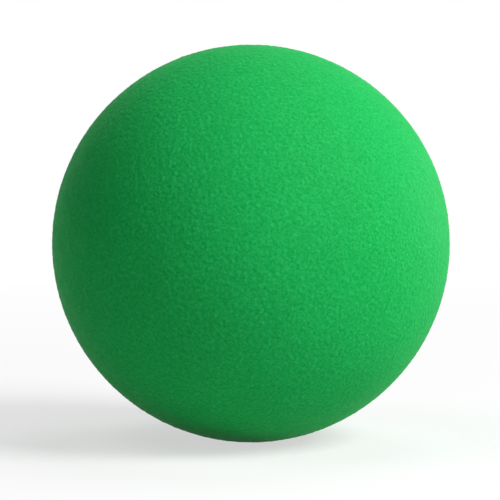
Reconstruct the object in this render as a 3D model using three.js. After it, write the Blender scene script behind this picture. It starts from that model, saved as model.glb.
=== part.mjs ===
// Coated foam ball: a sphere of open-cell foam inside a one-piece skin with one air vent.
// Millimetres, +Z up. The origin is the centre of the ball, and +Y points out through the vent.

import * as THREE from "three";

// Driving dimensions
const ballDiameter = 70;
const skinThickness = 1;
const skinToCoreGap = 0.3; // clearance between the skin's inside and the core
const ventDiameter = 2;
const ventLipRadius = 0.3; // rounding where the vent's wall meets the outside

// Fineness of the round surfaces. Both pieces share it, so their facets lie parallel.
const segmentsAround = 48; // a multiple of 4 puts a corner on each side of the ball
const ringsPoleToPole = 24; // an even number puts a ring on the equator
const lipSteps = 3;

// Worked out
const ballRadius = ballDiameter / 2;
const skinInsideRadius = ballRadius - skinThickness;
const coreRadius = skinInsideRadius - skinToCoreGap;
const ventRadius = ventDiameter / 2;
const ventMouthRadius = ventRadius + ventLipRadius;

const skinGreen = new THREE.Color(0x1ea852);
const foamCream = new THREE.Color(0xd9cfa8);

// The height over the ball's centre at which a sphere is as wide as a circle round the Y axis.
function heightAtWidth(sphereRadius, circleRadius) {
  return Math.sqrt(sphereRadius ** 2 - circleRadius ** 2);
}

// A sphere's profile from the pole at -Y, ring by ring, to the last ring before a circle round
// the Y axis near the other pole.
function arcBeforeCircle(sphereRadius, circleRadius) {
  const step = Math.PI / ringsPoleToPole;
  const endAngle = Math.PI - Math.asin(circleRadius / sphereRadius);
  const points = [new THREE.Vector2(0, -sphereRadius)];
  for (let ring = 1; ring * step < endAngle - step / 2; ring += 1) {
    const angle = ring * step;
    const x = sphereRadius * Math.sin(angle);
    const y = -sphereRadius * Math.cos(angle);
    points.push(new THREE.Vector2(x, y));
  }
  return points;
}

// The rounded edge at the vent's mouth: a quarter circle that leaves the outside level and
// turns down into the vent's wall.
function ventLip() {
  const lipTop = heightAtWidth(ballRadius, ventMouthRadius);
  const points = [];
  for (let step = 0; step <= lipSteps; step += 1) {
    const angle = (step / lipSteps) * (Math.PI / 2);
    const x = ventMouthRadius - ventLipRadius * Math.sin(angle);
    const y = lipTop - ventLipRadius * (1 - Math.cos(angle));
    points.push(new THREE.Vector2(x, y));
  }
  return points;
}

// The skin: the outside from the pole at -Y to the vent, down the vent's wall, and the inside
// back to the pole.
function skinGeometry() {
  const outside = arcBeforeCircle(ballRadius, ventMouthRadius);
  const ventFoot = new THREE.Vector2(ventRadius, heightAtWidth(skinInsideRadius, ventRadius));
  const inside = arcBeforeCircle(skinInsideRadius, ventRadius).reverse();
  const profile = [...outside, ...ventLip(), ventFoot, ...inside];
  return new THREE.LatheGeometry(profile, segmentsAround);
}

// The core: a whole sphere, turned about the same axis as the skin.
function coreGeometry() {
  const topPole = new THREE.Vector2(0, coreRadius);
  const profile = [...arcBeforeCircle(coreRadius, 0), topPole];
  return new THREE.LatheGeometry(profile, segmentsAround);
}

function namedMesh(name, geometry, color, roughness) {
  const material = new THREE.MeshStandardMaterial({ color, roughness, metalness: 0 });
  const mesh = new THREE.Mesh(geometry, material);
  mesh.name = name;
  return mesh;
}

const foamBall = new THREE.Group();
foamBall.add(namedMesh("foam_core", coreGeometry(), foamCream, 0.95));
foamBall.add(namedMesh("skin", skinGeometry(), skinGreen, 0.75));

export default foamBall;
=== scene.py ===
"""Dresses the foam ball: a pebbled green skin round an open-cell foam core, on a pale floor."""
import math

import bpy
import numpy as np
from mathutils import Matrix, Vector
from mathutils.kdtree import KDTree


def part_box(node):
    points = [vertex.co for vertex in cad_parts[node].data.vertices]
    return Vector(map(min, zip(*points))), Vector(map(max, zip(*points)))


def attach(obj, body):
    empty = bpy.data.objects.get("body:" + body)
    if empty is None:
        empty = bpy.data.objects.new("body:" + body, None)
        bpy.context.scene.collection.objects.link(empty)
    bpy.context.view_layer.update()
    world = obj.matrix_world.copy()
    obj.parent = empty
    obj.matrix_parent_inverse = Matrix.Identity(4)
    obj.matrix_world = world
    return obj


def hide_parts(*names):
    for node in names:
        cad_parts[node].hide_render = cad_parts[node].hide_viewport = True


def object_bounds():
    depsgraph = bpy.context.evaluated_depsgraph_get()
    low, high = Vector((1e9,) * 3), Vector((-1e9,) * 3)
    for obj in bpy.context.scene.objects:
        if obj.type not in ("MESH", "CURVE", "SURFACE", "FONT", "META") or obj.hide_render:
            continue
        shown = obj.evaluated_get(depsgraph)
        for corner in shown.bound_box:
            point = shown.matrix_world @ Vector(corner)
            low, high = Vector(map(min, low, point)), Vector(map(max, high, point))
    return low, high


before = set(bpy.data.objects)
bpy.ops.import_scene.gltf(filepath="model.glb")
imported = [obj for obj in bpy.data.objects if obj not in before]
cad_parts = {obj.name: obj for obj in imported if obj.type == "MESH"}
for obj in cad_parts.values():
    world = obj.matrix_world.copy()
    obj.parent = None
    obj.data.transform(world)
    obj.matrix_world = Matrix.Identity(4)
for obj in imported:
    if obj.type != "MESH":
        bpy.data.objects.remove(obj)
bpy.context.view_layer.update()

# Sizes in metres. The ball, its core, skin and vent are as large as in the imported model.
mm = 0.001
skin_low, skin_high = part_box("skin")
core_low, core_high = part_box("foam_core")
ball_radius = (skin_high.x - skin_low.x) / 2
core_radius = (core_high.x - core_low.x) / 2
skin_thickness = 1.0 * mm
skin_inside_radius = ball_radius - skin_thickness
vent_radius = 1.0 * mm
vent_lip_radius = 0.3 * mm
vent_mouth_radius = vent_radius + vent_lip_radius

# The skin's mesh
skin_cells = 256  # squares along each edge of the cube that is blown up into the outside
hole_reach = 4  # the squares round the vent are shifted out to this many vent mouth radii
lip_steps = 6
vent_wall_steps = 2
inside_rings = 30

# The skin's grain
grain_seed = 11
grain_waves = 500
grain_longest = 1.4 * mm
grain_shortest = 0.62 * mm
grain_height = 0.0150 * mm  # root mean square
grain_shading = 0.15  # how much steeper the grain is shaded than it is modelled
grain_peakedness = 0.15  # how much sharper the bumps are than the hollows
grain_fade_at_vent = 1.2 * mm
fine_grain_size = 0.5 * mm
fine_grain_height = 0.09 * mm

# The skin's tint, from -1 for the dark green to 1 for the pale green: painted shade in the grain's
# hollows and painted sheen on its bumps, plus flecks of random tone
relief_at_full_painted_shade_and_sheen = 2.0  # the relief, in root mean squares, at which the painted shade in the hollows and the painted sheen on the bumps are strongest
# how far the relief shifts the green: painted shade darkens the hollows, painted sheen pales the
# bumps
painted_grain_shade_and_sheen = 0.34
fleck_size = 0.36 * mm
fleck_tint = 0.70
fine_roughness = 0.6  # how strong the smallest part of the flecks and of the fine grain is
cloud_size = 9 * mm
cloud_change = 0.02

# The skin's gloss
gloss_patch_size = 2 * mm
skin_roughness = (0.54, 0.66)
skin_specular = 0.045

# The core's open cells
core_grid_cells = 120
foam_seed = 23
foam_cell_size = 1.5 * mm
foam_cell_depth = 0.15 * mm
foam_cell_scatter = 0.22  # how far the cells lie off an even spacing, in cell sizes
foam_wall_start = 0.35  # where a pit's wall starts: 0 is the pit's middle, 1 the wall's ridge

# The core's finish
speckle_size = 0.5 * mm
speckle_height = 0.05 * mm
speckle_brightness = (0.90, 1.06)
foam_roughness = 0.92
foam_specular = 0.2

# Between which values most of a noise lies, and most of the slow clouds
noise_range = (0.3, 0.7)
cloud_range = (0.35, 0.65)

# Colours, in the linear light that shaders work in
# The dark green is the flecks' dark tone and the painted shade in the grain's hollows; the paler,
# whiter green is the flecks' pale tone and the painted sheen on the bumps
skin_dark_fleck_and_painted_hollow_shade_green = (0.0010, 0.326, 0.055)
skin_pale_fleck_and_painted_bump_sheen_green = (0.0215, 0.488, 0.114)
foam_cream = (0.66, 0.58, 0.38)
foam_shadow = (0.40, 0.33, 0.19)
floor_grey = (0.65, 0.65, 0.65)  # what lights the ball from below
floor_pale = (0.95, 0.95, 0.95)  # what is seen

# The floor
floor_radius = 2.5
floor_corners = 96
fade_start = 0.04  # how far from the ball's foot its shadow starts to fade into plain white
fade_end = 0.30
white_at_ball = 0.6  # the share of plain white in the floor next to the ball

# The lamps
lamp_distance = 1.2
lamp_size = 0.6

# The photograph's frame in pixels, from its left and upper edges
photo_side = 500
ball_centre_across = 250.94
ball_centre_down = 243.51
ball_radius_px = 198.8

# Camera
camera_distance = 0.60
camera_elevation = math.radians(5)
sensor_width = 36.0


# A ball as a cube blown up, so that its squares are nearly alike everywhere

# Each face of the cube: its outward axis, and two axes that turn anticlockwise seen from outside
cube_faces = {
    "right": ((1, 0, 0), (0, 1, 0), (0, 0, 1)),
    "left": ((-1, 0, 0), (0, 0, 1), (0, 1, 0)),
    "back": ((0, 1, 0), (0, 0, 1), (1, 0, 0)),
    "front": ((0, -1, 0), (1, 0, 0), (0, 0, 1)),
    "top": ((0, 0, 1), (1, 0, 0), (0, 1, 0)),
    "bottom": ((0, 0, -1), (0, 1, 0), (1, 0, 0)),
}
vent_face = "back"
same_corner = 1e-6  # directions closer than this are one corner
map_columns = 3
map_gap = 0.004
map_floor = 0.06  # the share of the map's height, under the cube's faces, left for the inside
inside_share = 0.96  # how much of that the inside fills; a thin strip above it stays free


def rings_made_round(i, j):
    """Where a square grid's corners land when each square ring of them becomes a circle."""
    wide = np.abs(i) >= np.abs(j)
    ring = np.where(wide, i, j)
    share = np.where(wide, j, i) / np.where(ring == 0, 1, ring)
    near = ring * np.cos(share * np.pi / 4)
    far = ring * np.sin(share * np.pi / 4)
    return np.where(wide, near, far), np.where(wide, far, near)


def open_round_hole(i, j, cell_angle, hole_angle):
    """Pushes a face's inner corners out to a round hole. Gives their angles and the hole's ring."""
    hole_ring = round(hole_angle / cell_angle)
    last_ring = hole_reach * hole_ring
    ring = np.maximum(np.abs(i), np.abs(j))
    round_i, round_j = rings_made_round(i, j)
    share = np.clip((ring - hole_ring) / (last_ring - hole_ring), 0, 1)
    share = share**2 * (3 - 2 * share)
    pushed = (hole_angle + (ring - hole_ring) * cell_angle) / np.maximum(ring, 1)
    u = (1 - share) * pushed * round_i + share * cell_angle * i
    v = (1 - share) * pushed * round_j + share * cell_angle * j
    return u, v, hole_ring


def ball_grid(cells, hole_angle=0.0):
    """A ball of squares: the directions of its corners, its squares, each square corner's place
    on the map, and the corners round the hole with their angles."""
    steps = np.arange(cells + 1)
    i, j = np.meshgrid(steps - cells / 2, steps - cells / 2, indexing="ij")
    cell_angle = np.pi / 2 / cells
    directions, squares, places, hole = [], [], [], []
    number = np.arange((cells + 1) ** 2).reshape(cells + 1, cells + 1)
    turns = ((0, 0), (1, 0), (1, 1), (0, 1))
    for face, (name, axes) in enumerate(cube_faces.items()):
        outward, first, second = np.array(axes, float)
        u, v = i * cell_angle, j * cell_angle
        kept = np.ones((cells, cells), bool)
        if hole_angle and name == vent_face:
            u, v, hole_ring = open_round_hole(i, j, cell_angle, hole_angle)
            ring = np.maximum(np.abs(i[:-1, :-1] + 0.5), np.abs(j[:-1, :-1] + 0.5))
            kept = ring > hole_ring
            round_i, round_j = rings_made_round(i, j)
            on_edge = np.maximum(np.abs(i), np.abs(j)) == hole_ring
            turned = np.arctan2(round_j[on_edge], round_i[on_edge])
            order = np.argsort(turned)
            hole = (number[on_edge][order] + face * number.size, turned[order])
        bulge = outward + np.tan(u)[..., None] * first + np.tan(v)[..., None] * second
        bulge /= np.linalg.norm(bulge, axis=2, keepdims=True)
        directions.append(bulge.reshape(-1, 3))
        ends = [number[a : cells + a, b : cells + b][kept] for a, b in turns]
        squares.append(np.stack(ends, 1) + face * number.size)
        column, row = face % map_columns, face // map_columns
        across = [((i[:-1, :-1] + a) / cells + 0.5)[kept] for a, b in turns]
        along = [((j[:-1, :-1] + b) / cells + 0.5)[kept] for a, b in turns]
        across = (column + map_gap + np.stack(across, 1) * (1 - 2 * map_gap)) / map_columns
        rows = len(cube_faces) // map_columns
        along = (row + map_gap + np.stack(along, 1) * (1 - 2 * map_gap)) / rows
        places.append(np.stack([across, map_floor + along * (1 - map_floor)], 2))
    directions, squares = np.concatenate(directions), np.concatenate(squares)
    rounded = np.round(directions / same_corner).astype(np.int64)
    used = np.unique(squares)
    _, first_of, joined = np.unique(
        rounded[used], axis=0, return_index=True, return_inverse=True
    )
    renumber = np.zeros(len(directions), np.int64)
    renumber[used] = joined.ravel()
    if hole:
        hole = (renumber[hole[0]], hole[1])
    return directions[used][first_of], renumber[squares], np.concatenate(places), hole


def random_relief(points, seed, waves, longest, shortest):
    """Bumps and hollows with a root mean square of about 1: waves in all directions, summed."""
    random = np.random.default_rng(seed)
    counts = random.uniform(1 / longest, 1 / shortest, waves)
    ways = random.normal(size=(waves, 3))
    ways *= (2 * np.pi * counts / np.linalg.norm(ways, axis=1))[:, None]
    starts = random.uniform(0, 2 * np.pi, waves)
    height = np.zeros(len(points))
    for way, start in zip(ways, starts):
        height += np.cos(points @ way + start)
    height *= math.sqrt(2 / waves)
    return height + grain_peakedness * (height**2 - 1)


def smooth_step(value, low, high):
    share = np.clip((value - low) / (high - low), 0, 1)
    return share**2 * (3 - 2 * share)


def mesh_object(name, points, faces, map_places, relief=None):
    """A smooth mesh with its own map for baking, and its relief as an attribute of its points."""
    mesh = bpy.data.meshes.new(name)
    mesh.from_pydata(points.tolist(), [], [list(f) for group in faces for f in group.tolist()])
    flat = np.concatenate([group.reshape(-1, 2) for group in map_places])
    layer = mesh.uv_layers.new(name="OFBake")
    layer.uv.foreach_set("vector", flat.astype(np.float32).ravel())
    if relief is not None:
        attribute = mesh.attributes.new("relief", "FLOAT", "POINT")
        attribute.data.foreach_set("value", relief.astype(np.float32))
    mesh.shade_smooth()
    mesh.update()
    piece = bpy.data.objects.new(name, mesh)
    bpy.context.scene.collection.objects.link(piece)
    return piece


# The skin: grained outside, a rolled vent lip, the vent's wall and a plain inside


def vent_and_inside_profile():
    """Distance from the vent's axis, and place along it, from the vent's mouth to the inside."""
    mouth_y = math.sqrt(ball_radius**2 - vent_mouth_radius**2)
    foot_y = math.sqrt(skin_inside_radius**2 - vent_radius**2)
    profile = []
    for step in range(1, lip_steps + 1):
        turn = step / lip_steps * math.pi / 2
        x = vent_mouth_radius - vent_lip_radius * math.sin(turn)
        y = mouth_y - vent_lip_radius * (1 - math.cos(turn))
        profile.append((x, y))
    wall_top = mouth_y - vent_lip_radius
    for step in range(1, vent_wall_steps + 1):
        share = step / vent_wall_steps
        profile.append((vent_radius, wall_top + (foot_y - wall_top) * share))
    foot_angle = math.asin(vent_radius / skin_inside_radius)
    for ring in range(1, inside_rings):
        angle = foot_angle + (math.pi - foot_angle) * ring / inside_rings
        x = skin_inside_radius * math.sin(angle)
        y = skin_inside_radius * math.cos(angle)
        profile.append((x, y))
    return profile


def make_skin():
    hole_angle = math.asin(vent_mouth_radius / ball_radius)
    directions, squares, places, hole = ball_grid(skin_cells, hole_angle)
    relief = random_relief(
        directions * ball_radius, grain_seed, grain_waves, grain_longest, grain_shortest
    )
    from_vent = np.arccos(np.clip(directions[:, 1], -1, 1)) * ball_radius
    full_grain = vent_mouth_radius + grain_fade_at_vent
    relief *= smooth_step(from_vent, vent_mouth_radius, full_grain)
    outside = directions * (ball_radius + grain_height * relief)[:, None]

    hole_corners, turned = hole
    count = len(turned)
    _, first, second = np.array(cube_faces[vent_face], float)
    spokes = np.cos(turned)[:, None] * first + np.sin(turned)[:, None] * second
    points, rings = [outside], [hole_corners]
    made = len(outside)
    for x, y in vent_and_inside_profile():
        points.append(spokes * x + np.array((0, y, 0)))
        rings.append(made + np.arange(count))
        made += count
    points.append(np.array([[0, -skin_inside_radius, 0]]))
    far_pole = made

    map_steps = np.arange(count + 1) / count
    levels = len(rings)
    inner_squares, inner_places = [], []
    for level, (ring, below) in enumerate(zip(rings, rings[1:])):
        inner_squares.append(
            np.stack([ring, np.roll(ring, -1), np.roll(below, -1), below], 1)
        )
        high = map_floor * inside_share * (1 - level / levels)
        low = map_floor * inside_share * (1 - (level + 1) / levels)
        across = 1 - np.stack([map_steps[:-1], map_steps[1:], map_steps[1:], map_steps[:-1]], 1)
        along = np.broadcast_to([high, high, low, low], across.shape)
        inner_places.append(np.stack([across, along], 2))
    last = rings[-1]
    fan = np.stack([last, np.roll(last, -1), np.full(count, far_pole)], 1)
    middle = (map_steps[:-1] + map_steps[1:]) / 2
    across = 1 - np.stack([map_steps[:-1], map_steps[1:], middle], 1)
    lowest = map_floor * inside_share / levels
    along = np.broadcast_to([lowest, lowest, 0.0], across.shape)
    fan_places = np.stack([across, along], 2)

    points = np.concatenate(points)
    shown_relief = np.zeros(len(points))
    shown_relief[: len(outside)] = relief
    return mesh_object(
        "pebbled_skin",
        points,
        [squares, *inner_squares, fan],
        [places, *inner_places, fan_places],
        shown_relief,
    )


# The core: a ball of foam whose cut cells lie open


def make_core():
    directions, squares, places, _ = ball_grid(core_grid_cells)
    random = np.random.default_rng(foam_seed)
    cells = round(4 * np.pi * (core_radius / foam_cell_size) ** 2)
    step = np.arange(cells)
    height = 1 - (2 * step + 1) / cells
    golden_angle = np.pi * (3 - math.sqrt(5))
    turn = step * golden_angle
    wide = np.sqrt(1 - height**2)
    centres = np.stack([wide * np.cos(turn), wide * np.sin(turn), height], 1)
    scatter = foam_cell_scatter * foam_cell_size / core_radius
    centres += random.normal(scale=scatter, size=centres.shape)
    centres /= np.linalg.norm(centres, axis=1, keepdims=True)
    tree = KDTree(cells)
    for index, centre in enumerate(centres.tolist()):
        tree.insert(centre, index)
    tree.balance()
    near = np.array(
        [[found[2] for found in tree.find_n(d, 2)] for d in directions.tolist()]
    )
    pit = 1 - smooth_step(near[:, 0] / near[:, 1], foam_wall_start, 1.0)
    radius = core_radius - foam_cell_depth * pit
    return mesh_object(
        "open_cell_core", directions * radius[:, None], [squares], [places], 1 - pit
    )


# Materials


class Shader:
    """A short way to write a material's nodes."""

    def __init__(self, name):
        self.material = bpy.data.materials.new(name)
        self.material.use_nodes = True
        self.nodes = self.material.node_tree.nodes
        self.links = self.material.node_tree.links
        self.nodes.clear()

    def node(self, kind, values=(), **settings):
        made = self.nodes.new("ShaderNode" + kind)
        for name, value in settings.items():
            setattr(made, name, value)
        for socket, value in dict(values).items():
            if isinstance(value, bpy.types.NodeSocket):
                self.links.new(value, made.inputs[socket])
            else:
                made.inputs[socket].default_value = value
        return made

    def noise(self, size, detail, roughness=0.5):
        """A noise with bumps of about this size, from 0 to 1."""
        where = self.node("TexCoord").outputs["Object"]
        values = {"Vector": where, "Scale": 1 / size, "Detail": detail, "Roughness": roughness}
        return self.node("TexNoise", values).outputs["Fac"]

    def spread(self, value, low, high, to_low=0.0, to_high=1.0):
        """Maps low to to_low and high to to_high, and goes no further at either end."""
        values = {"Value": value, "From Min": low, "From Max": high}
        values |= {"To Min": to_low, "To Max": to_high}
        return self.node("MapRange", values).outputs["Result"]

    def blend(self, share, first, second):
        """A colour between two. The Mix node's colour sockets share their names with its others."""
        made = self.node("Mix", data_type="RGBA")
        self.links.new(share, made.inputs["Factor"])
        for socket, value in ((made.inputs[6], first), (made.inputs[7], second)):
            if isinstance(value, bpy.types.NodeSocket):
                self.links.new(value, socket)
            else:
                socket.default_value = (*value, 1)
        return made.outputs[2]

    def finish(self, shader):
        out = self.node("OutputMaterial")
        self.links.new(shader, out.inputs["Surface"])
        return self.material


def skin_material():
    s = Shader("skin_green")
    relief = s.node("Attribute", attribute_name="relief").outputs["Fac"]
    # The relief tints the green: painted shade in the hollows, painted sheen on the bumps
    painted_hollow_shade_and_bump_sheen = s.spread(relief, -relief_at_full_painted_shade_and_sheen, relief_at_full_painted_shade_and_sheen, -painted_grain_shade_and_sheen, painted_grain_shade_and_sheen)
    flecks = s.noise(fleck_size, detail=2, roughness=fine_roughness)
    by_flecks = s.spread(flecks, *noise_range, -fleck_tint, fleck_tint)
    tint = s.node("Math", {0: painted_hollow_shade_and_bump_sheen, 1: by_flecks}, operation="ADD").outputs[0]
    green = s.blend(s.spread(tint, -1.0, 1.0), skin_dark_fleck_and_painted_hollow_shade_green, skin_pale_fleck_and_painted_bump_sheen_green)
    cloud = s.noise(cloud_size, detail=3)
    brightness = s.spread(cloud, *cloud_range, 1 - cloud_change, 1 + cloud_change)
    mottled = s.node("HueSaturation", {"Color": green, "Value": brightness}).outputs["Color"]
    fine_grain = s.noise(fine_grain_size, detail=2, roughness=fine_roughness)
    coarse_share = grain_shading * grain_height / fine_grain_height
    parts = {0: relief, 1: coarse_share, 2: fine_grain}
    height = s.node("Math", parts, operation="MULTIPLY_ADD").outputs[0]
    bump_values = {"Height": height, "Distance": fine_grain_height, "Strength": 1.0}
    bump = s.node("Bump", bump_values)
    patches = s.noise(gloss_patch_size, detail=2)
    roughness = s.spread(patches, *noise_range, *skin_roughness)
    values = {
        "Base Color": mottled,
        "Roughness": roughness,
        "Normal": bump.outputs["Normal"],
        "Specular IOR Level": skin_specular,
    }
    return s.finish(s.node("BsdfPrincipled", values).outputs["BSDF"])


def foam_material():
    s = Shader("core_foam")
    wall = s.node("Attribute", attribute_name="relief").outputs["Fac"]
    speckle = s.noise(speckle_size, detail=2)
    brightness = s.spread(speckle, *noise_range, *speckle_brightness)
    cream = s.blend(wall, foam_shadow, foam_cream)
    toned = s.node("HueSaturation", {"Color": cream, "Value": brightness}).outputs["Color"]
    bump = s.node("Bump", {"Height": speckle, "Distance": speckle_height, "Strength": 1.0})
    values = {
        "Base Color": toned,
        "Roughness": foam_roughness,
        "Normal": bump.outputs["Normal"],
        "Specular IOR Level": foam_specular,
    }
    return s.finish(s.node("BsdfPrincipled", values).outputs["BSDF"])


skin = make_skin()
skin.data.materials.append(skin_material())
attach(skin, "root")
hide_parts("skin")

core = make_core()
core.data.materials.append(foam_material())
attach(core, "root")
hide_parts("foam_core")


# The floor: pale, with the ball's shadow near it, and plain white further off


def floor_material():
    s = Shader("pale_floor")
    white = s.node("Emission", {"Color": (1, 1, 1, 1), "Strength": 1.0}).outputs["Emission"]
    rays = s.node("LightPath").outputs
    seen = s.node("Math", {0: rays["Is Camera Ray"], 1: rays["Is Glossy Ray"]}, operation="ADD")
    seen = s.node("Math", {0: seen.outputs[0], 1: rays["Is Transmission Ray"]}, operation="ADD")
    tone = s.blend(seen.outputs[0], floor_grey, floor_pale)
    diffuse = s.node("BsdfDiffuse", {"Color": tone}).outputs["BSDF"]
    where = s.node("TexCoord").outputs["Object"]
    away = s.node("VectorMath", {0: where}, operation="LENGTH").outputs["Value"]
    plain = s.spread(away, fade_start, fade_end, white_at_ball, 1.0)
    share = s.node("Math", {0: seen.outputs[0], 1: plain}, operation="MULTIPLY", use_clamp=True)
    mixed = s.node("MixShader", {"Fac": share.outputs[0], 1: diffuse, 2: white})
    return s.finish(mixed.outputs["Shader"])


def make_floor():
    turn = np.arange(floor_corners) * 2 * np.pi / floor_corners
    edge = np.stack([np.cos(turn), np.sin(turn), np.zeros(floor_corners)], 1) * floor_radius
    mesh = bpy.data.meshes.new("floor")
    mesh.from_pydata(edge.tolist(), [], [list(range(floor_corners))])
    floor = bpy.data.objects.new("floor", mesh)
    floor.location.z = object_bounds()[0].z
    bpy.context.scene.collection.objects.link(floor)
    mesh.materials.append(floor_material())


make_floor()


# Light


def soft_lamp(name, azimuth, elevation, watts):
    """A square lamp that faces the ball. Azimuth 0 is the viewer's side, and 90 the right."""
    a, e = math.radians(azimuth), math.radians(elevation)
    away = Vector((math.sin(a) * math.cos(e), -math.cos(a) * math.cos(e), math.sin(e)))
    data = bpy.data.lights.new(name, "AREA")
    data.size = lamp_size
    data.energy = watts
    lamp = bpy.data.objects.new(name, data)
    lamp.location = away * lamp_distance
    lamp.rotation_euler = away.to_track_quat("Z", "Y").to_euler()
    bpy.context.scene.collection.objects.link(lamp)


soft_lamp("key", azimuth=60, elevation=40, watts=14.9)
soft_lamp("front", azimuth=40, elevation=20, watts=1.8)
soft_lamp("side", azimuth=120, elevation=4, watts=6.5)
soft_lamp("fill", azimuth=-60, elevation=62, watts=2.4)
soft_lamp("rear", azimuth=150, elevation=62, watts=2.7)


def make_world():
    world = bpy.data.worlds.new("studio")
    bpy.context.scene.world = world
    world.use_nodes = True
    nodes, links = world.node_tree.nodes, world.node_tree.links
    nodes.clear()
    rays = nodes.new("ShaderNodeLightPath").outputs
    seen = nodes.new("ShaderNodeMath")
    seen_or_mirrored = nodes.new("ShaderNodeMath")
    seen.operation = seen_or_mirrored.operation = "ADD"
    seen_or_mirrored.use_clamp = True
    dim = nodes.new("ShaderNodeBackground")
    dim.inputs["Strength"].default_value = 0.0
    white = nodes.new("ShaderNodeBackground")
    white.inputs["Color"].default_value = (1, 1, 1, 1)
    mix = nodes.new("ShaderNodeMixShader")
    out = nodes.new("ShaderNodeOutputWorld")
    links.new(rays["Is Camera Ray"], seen.inputs[0])
    links.new(rays["Is Glossy Ray"], seen.inputs[1])
    links.new(seen.outputs[0], seen_or_mirrored.inputs[0])
    links.new(rays["Is Transmission Ray"], seen_or_mirrored.inputs[1])
    links.new(seen_or_mirrored.outputs[0], mix.inputs["Fac"])
    links.new(dim.outputs[0], mix.inputs[1])
    links.new(white.outputs[0], mix.inputs[2])
    links.new(mix.outputs[0], out.inputs["Surface"])


make_world()


# Camera


def make_camera():
    data = bpy.data.cameras.new("camera")
    data.sensor_width = sensor_width
    seen_tangent = ball_radius / math.sqrt(camera_distance**2 - ball_radius**2)
    data.lens = sensor_width * ball_radius_px / (photo_side * seen_tangent)
    data.shift_x = (photo_side / 2 - ball_centre_across) / photo_side
    data.shift_y = (ball_centre_down - photo_side / 2) / photo_side
    camera = bpy.data.objects.new("camera", data)
    back = Vector((0, -math.cos(camera_elevation), math.sin(camera_elevation)))
    camera.location = back * camera_distance
    camera.rotation_euler = back.to_track_quat("Z", "Y").to_euler()
    bpy.context.scene.collection.objects.link(camera)
    bpy.context.scene.camera = camera


make_camera()
bpy.context.scene.view_settings.view_transform = "Standard"
